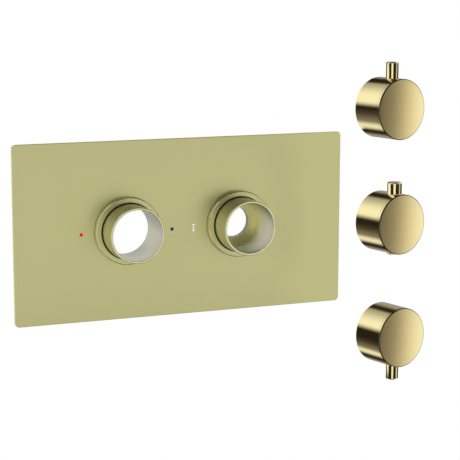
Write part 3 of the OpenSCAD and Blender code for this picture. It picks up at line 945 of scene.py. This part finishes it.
def cap():
    inner = SPIGOT_R - SPIGOT_WALL
    neck = DRUM_R - SEAM_DEPTH
    return turned([
        (inner, CAP_BACK, SHARP), (inner, SPIGOT_BACK, SMALL), (SPIGOT_R, SPIGOT_BACK, SMALL),
        (SPIGOT_R, CAP_RING_BACK, SHARP), (CAP_GROOVE_R, CAP_RING_BACK, SHARP),
        (CAP_GROOVE_R, CAP_RING_FRONT, SHARP), (SPIGOT_R, CAP_RING_FRONT, SHARP),
        (SPIGOT_R, CAP_BACK, SHARP), (neck, CAP_BACK, SHARP), (neck, CAP_BACK + SEAM_W, SHARP),
        (DRUM_R, CAP_BACK + SEAM_W, SEAM_BREAK), (DRUM_R, HANDLE_L, CAP_BREAK)], solid=True)


def cap_ring():
    return plain_ring(CAP_GROOVE_R, RECESS_R, CAP_RING_BACK, CAP_RING_FRONT, CAP_RING_BREAK)


def peg(radius, reach, set_back, up):
    shape = turned([(TAIL_R, -TAIL_L, SOFT), (TAIL_R, 0, SHARP), (radius, 0, SHARP),
                    (radius, PEG_SEAT + reach, PEG_ROUND)], solid=True, sides=SMALL_SIDES * 2)
    shape.matrix_world = (Matrix.Translation((0, (DRUM_R - PEG_SEAT) * up, HANDLE_L - set_back))
                          @ Matrix.Rotation(-math.pi / 2 * up, 4, "X"))
    fix_place(shape)
    return smooth(shape)


def hub():
    insert = turned([
        (SCREW_HOLE_R, SOCKET_END, SHARP), (SOCKET_R, SOCKET_END, SHARP),
        (SOCKET_R, HUB_NOSE_BACK, SOFT), (HUB_NOSE_R, HUB_NOSE_BACK, HUB_BREAK),
        (HUB_NOSE_R, HUB_BOSS_BACK, SOFT), (HUB_BOSS_R, HUB_BOSS_BACK, HUB_BREAK),
        (HUB_BOSS_R, HUB_FLANGE_BACK, SOFT), (HUB_R, HUB_FLANGE_BACK, HUB_RIM_BREAK),
        (HUB_R, WEB_BACK, SHARP), (SCREW_HOLE_R, WEB_BACK, SHARP)])
    keyways = [block((x - KEY_DEPTH, -KEY_W / 2, HUB_NOSE_BACK - OVER),
                     (x + KEY_DEPTH, KEY_W / 2, SOCKET_END)) for x in (SOCKET_R, -SOCKET_R)]
    return cut_away(insert, *keyways)


def spindle_screw():
    screw = turned([(SCREW_R, SOCKET_END, SOFT), (SCREW_R, WEB_FRONT, SHARP),
                    (SCREW_HEAD_R, WEB_FRONT, FINE), (SCREW_HEAD_R, SCREW_HEAD_FRONT, SOFT)],
                   solid=True, sides=SMALL_SIDES)
    key = pin(SCREW_KEY / 2 / math.cos(math.pi / 6), SCREW_HEAD_FRONT - SCREW_KEY_DEPTH,
              SCREW_HEAD_FRONT + OVER, sides=6)
    return smooth(cut_away(screw, key))


def downwards(shape):
    """Turns a piece that was drawn along Z to point down from the handle axis."""
    shape.matrix_world = Matrix.Translation((0, 0, BUTTON_LEVEL)) @ TO_ROOM
    fix_place(shape)
    return shape


def override_button(finish):
    plunger = turned([(STEM_R, STEM_END, SOFT), (STEM_R, STOP_INNER, SHARP),
                      (STOP_R, STOP_INNER, SMALL), (STOP_R, STOP_OUTER, FINE),
                      (BUTTON_R, STOP_OUTER, SHARP), (BUTTON_R, BUTTON_TIP, BUTTON_BREAK)],
                     solid=True, sides=SMALL_SIDES)
    settle(smooth(downwards(plunger)), "override_button_plunger", in_handle("temperature"),
           "override_button", "override_button", finish)


def button_spring():
    """A ring of wire drawn up along a screw line."""
    select_nothing()
    bpy.ops.mesh.primitive_circle_add(vertices=WIRE_SIDES, radius=SPRING_WIRE_R,
                                      location=(SPRING_R, 0, SPRING_SEAT + SPRING_WIRE_R),
                                      rotation=(math.pi / 2, 0, 0))
    coil = bpy.context.object
    fix_place(coil)
    height = STOP_INNER - SPRING_SEAT
    step = coil.modifiers.new("wind", "SCREW")
    step.iterations = SPRING_TURNS
    step.steps = step.render_steps = SPRING_STEPS
    step.screw_offset = (height - 2 * SPRING_WIRE_R) / SPRING_TURNS
    apply_step(coil, step)
    start_edit(coil)
    bpy.ops.mesh.select_all(action="SELECT")
    bpy.ops.mesh.fill_holes(sides=0)
    face_outwards()
    end_edit()
    settle(smooth(downwards(coil)), "button_spring_coil", in_handle("temperature"),
           "temperature_handle", "button_spring", STEEL_FINISH)
    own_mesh(coil)


def handle(name, models):
    """One handle from copies of the shared models."""
    place = in_handle(name)
    body = name + "_handle"
    finish = polished_finish(name + "_handle_brass", HANDLES[name]["face"])
    pieces = {part: copy_of(model, f"{name}_{part}") for part, model in models.items()}
    if name == "temperature":
        way_out = below_axis(BUTTON_BORE_R, DRUM_R + 2 * OVER, GUIDE_END - OVER / 2)
        cut_away(pieces["drum"], way_out, button_pocket())
        stem_hole = below_axis(STEM_HOLE_R, SPRING_SEAT + OVER / 2, STEM_HOLE_END)
        cut_away(pieces["hub"], button_pocket(), stem_hole)
    finishes = {
        "drum": ("shell", "polished_brass", finish),
        "cap": ("disc", "polished_brass", finish),
        "cap_ring": ("cord", "rubber", RUBBER_FINISH),
        "hub": ("insert", "hub_plastic", HUB_FINISH),
        "spindle_screw": ("bolt", "steel", STEEL_FINISH),
    }
    for part, (word, slot, look) in finishes.items():
        node = f"{name}_{part}"
        settle(smooth(pieces[part]), f"{node}_{word}", place, body, node, look)
    settle(peg(*HANDLES[name]["peg"]), f"{name}_peg_pin", place, body, f"{name}_peg",
           finish)
    return finish


def handles():
    models = {"drum": drum(), "cap": cap(), "cap_ring": cap_ring(), "hub": hub(),
              "spindle_screw": spindle_screw()}
    finishes = {name: handle(name, models) for name in HANDLES}
    override_button(finishes["temperature"])
    button_spring()
    for model in models.values():
        bpy.data.objects.remove(model, do_unlink=True)


temperature_sleeve()
flow_sleeve()
faceplate()
enamel_dot("hot_mark", HOT_X, "red_enamel", RED)
enamel_dot("cold_mark", COLD_X, "blue_enamel", BLUE)
outlet_numeral()
backing_pad()
collar_stack()
handles()


# Studio; lengths in metres and angles in degrees where nothing else is said
FLOOR_Z = -0.9
FLOOR_SIZE = 20
FLOOR_WHITE = 0.97
FLOOR_GLOW = 0.9
ROOM_FILL = 1.0
KEY_PLACE = (-1.1, -1.5, 1.5)
KEY_AIM = (0.02, 0, 0)
KEY_SIZE = (1.2, 1.2)
KEY_POWER = 5.0
UPWARDS = Vector((0, 0, 1))
TO_WALL = Vector((0, 1, 0))

# Screens round the handles, in millimetres
SCREEN_R = 40
SCREEN_L = 44
SCREEN_SIDES = 120
SCREEN_STEPS = 22
SCREEN_FRONT = 10
PLATE_CLEAR = 4

# Light on the screens by angle, from the right over the top and the left side to the bottom.
# The shade at the left starts at an angle of its own for each handle. Where it starts sooner than
# the flow handle's, the light at the right ends later and the light below comes on later.
SHADE_STARTS = {"flow": 168.5, "temperature": 164.5, "diverter": 159}
SHADE_BLUR = 9
RIGHT_END = (51, 78)
RIGHT_END_MOVES = (1, 0.8)
RIGHT_LIGHT = 0.33
SIDE_START = (91, 106)
SIDE_FULL = (100, 146)
SIDE_LIGHT = 0.4
LOW_STEPS = (
    ((176, 200), (0.9, 0.9), 0.06),
    ((192, 214), (0.6, 0.6), 0.13),
    ((213, 231), (0.35, 0), 0.71),
)
LOW_END = (232, 251)
FOOT_START = (256, 284)
FOOT_LIGHT = 0.32
SCREEN_BLACK = 0.02

# How much green and blue is left in the dark of the screens, and in the dark of a card
SCREEN_WARMTH = (0.8, 0.66)
WARM_BELOW = 0.3
CARD_WARMTH = (0.93, 0.88)
LEAST_FADE = 0.001

# Cards round a peg or the button: azimuth and half width; then turn and rise of a handle's set
PEG_CARDS = {"left_back": (-163, 27), "left_front": (-73, 32), "front": (11, 23), "right": (106, 39)}
PEG_AIMS = {"temperature": (0, -8), "flow": (0, -4), "diverter": (5, -15)}
PEG_CARDS_AWAY = 0.05
PEG_CARDS_TALLER = 0.02
PEG_CARDS_FADES = (0.07, 0.07, 0.1, 0.1)
PEG_CARDS_GAP = 0.0005
PEG_CARDS_BLACK = 0.015
PEG_CARDS_WHITE = 0.97
BUTTON_CARDS_REACH = 4  # millimetres

# The card that shades the faces; it leans as the column of handles does
COLUMN_UP = (Vector(HANDLES["flow"]["face"]) - Vector(HANDLES["temperature"]["face"])).normalized()
FACE_CARD_AZIMUTH = 57.7
FACE_CARD_AWAY = 0.12
FACE_CARD_ASIDE = 0.0215
FACE_CARD_DROP = 0.020
FACE_CARD_SIZE = (0.082, 0.32)
FACE_CARD_FADES = (0.34, 0.1, 0.05, 0.05)
FACE_CARD_TONE = 0.1225
FACE_CARD_SLOPE = 0.967
FACE_CARD_LEAST = 0.6
FACE_CARD_WARMTH = (0.9, 0.78)
AMBER = (1, 0.97, 0.88, 1)
GEL_EDGE = (0.1, 0.6)

# The dark card in front above, by the angles that it covers from the handles
HANDLES_MIDDLE = Vector((0.152, -0.040, 0.0))
ROOM_HEADING = (2, 32)
ROOM_AWAY = 1.2
ROOM_SPANS = (110, 40)
ROOM_FADES = (12, 12, 14, 4)
ROOM_TONE = 0.03

# Cards below and above the set: place, way that they face, and size
LEVEL_CARDS = {
    "low_card": (Vector((0.02, -0.15, -0.2)), UPWARDS, (0.4, 0.26)),
    "high_card": (Vector((0.07, -0.12, 0.25)), -UPWARDS, (0.5, 0.3)),
}
LEVEL_FADES = (0.2, 0.2, 0.2, 0.05)
LEVEL_TONE = 0.02

# White card close in front of the plate's right end, in millimetres
BOUNCE_W = 61
BOUNCE_PAST = 0.5
BOUNCE_GAP = 0.1
BOUNCE_FADES = (0.6, 0, 0, 0)
BOUNCE_TONE = 0.93


def shown_rays(shop):
    """1 for rays from the camera and for those that metal or glass sends on."""
    path = shop.node("ShaderNodeLightPath", {}, {})
    outputs = path.socket.node.outputs
    camera, glossy, through = (Value(shop, outputs[name]) for name in
                               ("Is Camera Ray", "Is Glossy Ray", "Is Transmission Ray"))
    return camera.most(glossy).most(through)


def studio_world():
    """A white background, and plain light from all sides."""
    world = bpy.data.worlds.new("studio")
    bpy.context.scene.world = world
    shop = Shop(world)
    seen = shown_rays(shop)
    strength = seen + (1 - seen) * ROOM_FILL
    light = shop.node("ShaderNodeBackground", {}, {"Color": (1, 1, 1, 1), "Strength": strength})
    shop.node("ShaderNodeOutputWorld", {}, {"Surface": light})


def studio_floor():
    """A pale floor that looks white to the camera and keeps the object's shadow."""
    select_nothing()
    bpy.ops.mesh.primitive_plane_add(size=FLOOR_SIZE, location=(0, 0, FLOOR_Z))
    floor = bpy.context.object
    floor.name = "studio_floor"
    shop = new_shop("floor_paint")
    white = (FLOOR_WHITE, FLOOR_WHITE, FLOOR_WHITE, 1)
    paint = shop.node("ShaderNodeBsdfDiffuse", {}, {"Color": white})
    glow = shop.node("ShaderNodeEmission", {}, {"Color": (1, 1, 1, 1), "Strength": 1.0})
    share = shown_rays(shop) * FLOOR_GLOW
    floor.data.materials.append(shop.finish(shop.layered(share, paint, glow)))


def soft_lamp(name, place, target, size, power):
    data = bpy.data.lights.new(name, "AREA")
    data.shape = "RECTANGLE"
    data.size, data.size_y = size
    data.energy = power
    lamp = bpy.data.objects.new(name, data)
    bpy.context.scene.collection.objects.link(lamp)
    lamp.location = place
    lamp.rotation_euler = (Vector(target) - Vector(place)).to_track_quat("-Z", "Y").to_euler()


def warmed(shop, tone):
    """The colour of a grey that gets warmer as it gets darker."""
    pale = tone.rise(0, WARM_BELOW)
    green, blue = (tone * (left + pale * (1 - left)) for left in SCREEN_WARMTH)
    return shop.vector(tone, green, blue)


def card_cloth(name, fades, tone, slope):
    """Cloth that thins out towards its left, right, low and high edges.

    One with a slope gets paler to the left and has an amber gel along its thin part.
    """
    shop = new_shop(name + "_cloth")
    across, up, _ = shop.parts(shop.here())
    left, right, low, high = (max(fade, LEAST_FADE) for fade in fades)
    cover = across.rise(-0.5, left - 0.5) * (1 - across.rise(0.5 - right, 0.5))
    cover = cover * up.rise(-0.5, low - 0.5) * (1 - up.rise(0.5 - high, 0.5))
    colour = (tone, *[tone * (left + (1 - left) * tone) for left in CARD_WARMTH], 1)
    clear = shop.node("ShaderNodeBsdfTransparent", {}, {})
    if slope:
        level = (tone - across * slope).most(tone * FACE_CARD_LEAST)
        colour = shop.vector(level, *[level * left for left in FACE_CARD_WARMTH])
        gel = shop.node("ShaderNodeBsdfTransparent", {}, {"Color": AMBER})
        clear = shop.layered(cover.rise(*GEL_EDGE), clear, gel)
    cloth = shop.node("ShaderNodeEmission", {}, {"Color": colour})
    return shop.finish(shop.layered(cover, clear, cloth))


def only_in_reflections(made):
    for kind in ("camera", "diffuse", "transmission", "volume_scatter", "shadow"):
        setattr(made, "visible_" + kind, False)


def card(name, place, facing, size, fades, tone, up=UPWARDS, slope=0.0):
    """A card beside the set that only glossy metal shows, as a soft band."""
    select_nothing()
    bpy.ops.mesh.primitive_plane_add(size=1)
    made = bpy.context.object
    made.name = name
    right = up.cross(facing).normalized()
    axes = Matrix((right, facing.cross(right), facing)).transposed().to_4x4()
    made.matrix_world = Matrix.Translation(place) @ axes @ Matrix.Diagonal((*size, 1, 1))
    made.data.materials.append(card_cloth(name, fades, tone, slope))
    only_in_reflections(made)
    return made


def moved(ends, shares, way):
    """Two angles, each moved on by its share of the way."""
    return [end + share * way for end, share in zip(ends, shares)]


def screen_cloth(name, shade_start):
    """White cloth with soft dark bands at the top, at the left and below."""
    shop = new_shop(name + "_cloth")
    across, up, _ = shop.parts(shop.here())
    angle = up.math("ARCTAN2", up * -1, across * -1) * (180 / math.pi) + 180
    sooner = SHADE_STARTS["flow"] - shade_start
    right = (1 - angle.rise(*moved(RIGHT_END, RIGHT_END_MOVES, sooner))) * RIGHT_LIGHT
    side = angle.rise(*SIDE_START) * (SIDE_LIGHT + angle.rise(*SIDE_FULL) * (1 - SIDE_LIGHT))
    side = side * (1 - angle.rise(shade_start - SHADE_BLUR, shade_start + SHADE_BLUR))
    low = 0.0
    for ends, moves, light in LOW_STEPS:
        low = angle.rise(*moved(ends, moves, sooner)) * light + low
    low = low * (1 - angle.rise(*LOW_END)) + angle.rise(*FOOT_START) * FOOT_LIGHT
    tone = (side + right + low) * (1 - SCREEN_BLACK) + SCREEN_BLACK
    return shop.finish(shop.node("ShaderNodeEmission", {}, {"Color": warmed(shop, tone)}))


def in_plate(spot):
    """True where a screen would stand in the plate's right end."""
    return (spot.x < PLATE_W / 2 + PLATE_CLEAR and abs(spot.z) < PLATE_H / 2 + PLATE_CLEAR
            and spot.y > -PLATE_FRONT - PLATE_CLEAR)


def screen(handle_name, shade_start):
    """A curved screen behind and round a handle, which its drum reflects."""
    select_nothing()
    bpy.ops.mesh.primitive_circle_add(vertices=SCREEN_SIDES, radius=SCREEN_R,
                                      location=(0, 0, SCREEN_FRONT - SCREEN_L))
    made = bpy.context.object
    fix_place(made)
    made.name = handle_name + "_screen"
    start_edit(made)
    bpy.ops.mesh.select_all(action="SELECT")
    for _ in range(SCREEN_STEPS):
        pull_out((0, 0, SCREEN_L / SCREEN_STEPS))
    place = in_handle(handle_name)
    pick_faces(made, lambda centre, normal: in_plate(place @ centre))
    bpy.ops.mesh.delete(type="FACE")
    end_edit()
    made.matrix_world = Matrix.Scale(MM, 4) @ place
    made.data.materials.append(screen_cloth(made.name, shade_start))
    only_in_reflections(made)


def heading(azimuth, elevation):
    """Direction by its angle from the room side, to the right, and above the horizon."""
    az, el = math.radians(azimuth), math.radians(elevation)
    return Vector((math.sin(az) * math.cos(el), -math.cos(az) * math.cos(el), math.sin(el)))


def room_card():
    """The dark room that the handles see in front and above; its fades are in degrees too."""
    way = heading(*ROOM_HEADING)
    size = [2 * ROOM_AWAY * math.tan(math.radians(span / 2)) for span in ROOM_SPANS]
    fades = [fade / ROOM_SPANS[index // 2] for index, fade in enumerate(ROOM_FADES)]
    card("room_behind", HANDLES_MIDDLE + way * ROOM_AWAY, -way, size, fades, ROOM_TONE)


def upright_cards(name, handle_name, height, level, reach):
    """Dark cards with white backs round a peg or the button, which shows them as upright stripes."""
    middle = in_handle(handle_name) @ Vector((0, height, level)) * MM
    turn, rise = PEG_AIMS[handle_name]
    for side, (azimuth, half) in PEG_CARDS.items():
        way = heading(azimuth + turn, rise)
        size = (2 * PEG_CARDS_AWAY * math.tan(math.radians(half)), reach * MM + PEG_CARDS_TALLER)
        for word, away, tone in (("card", PEG_CARDS_AWAY, PEG_CARDS_BLACK),
                                 ("back", PEG_CARDS_AWAY + PEG_CARDS_GAP, PEG_CARDS_WHITE)):
            card(f"{name}_{side}_{word}", middle + way * away, -way, size, PEG_CARDS_FADES, tone)


def peg_cards(handle_name):
    _, reach, set_back, up = HANDLES[handle_name]["peg"]
    upright_cards(handle_name + "_peg", handle_name, up * (DRUM_R + reach / 2),
                  HANDLE_L - set_back, reach)


def face_card():
    """A grey card in front at the right, which shades the left halves of the three faces."""
    ahead = heading(FACE_CARD_AZIMUTH, 0)
    beside = heading(FACE_CARD_AZIMUTH - 90, 0)
    middle = Vector(HANDLES["temperature"]["face"]) * MM - UPWARDS * FACE_CARD_DROP
    card("face_card", middle + ahead * FACE_CARD_AWAY + beside * FACE_CARD_ASIDE, -ahead,
         FACE_CARD_SIZE, FACE_CARD_FADES, FACE_CARD_TONE, up=COLUMN_UP, slope=FACE_CARD_SLOPE)


def bounce_card():
    """Moves with the plate and keeps the screens' dark out of the plate's right end."""
    middle = Vector((PLATE_W / 2 + BOUNCE_PAST - BOUNCE_W / 2, -PLATE_FRONT - BOUNCE_GAP, 0)) * MM
    made = card("bounce_card", middle, -TO_WALL, (BOUNCE_W * MM, PLATE_H * MM), BOUNCE_FADES,
                BOUNCE_TONE)
    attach(made, "plate")


def reflection_rig():
    """Black, grey and white cards that draw the soft bands on the polished brass."""
    for name, shade_start in SHADE_STARTS.items():
        screen(name, shade_start)
        peg_cards(name)
    face_card()
    upright_cards("button", "temperature", -BUTTON_TIP, BUTTON_LEVEL, BUTTON_CARDS_REACH)
    room_card()
    for name, (place, facing, size) in LEVEL_CARDS.items():
        card(name, place, facing, size, LEVEL_FADES, LEVEL_TONE, up=TO_WALL)
    bounce_card()


bpy.context.scene.view_settings.view_transform = "Standard"
studio_world()
studio_floor()
soft_lamp("key_lamp", KEY_PLACE, KEY_AIM, KEY_SIZE, KEY_POWER)
reflection_rig()
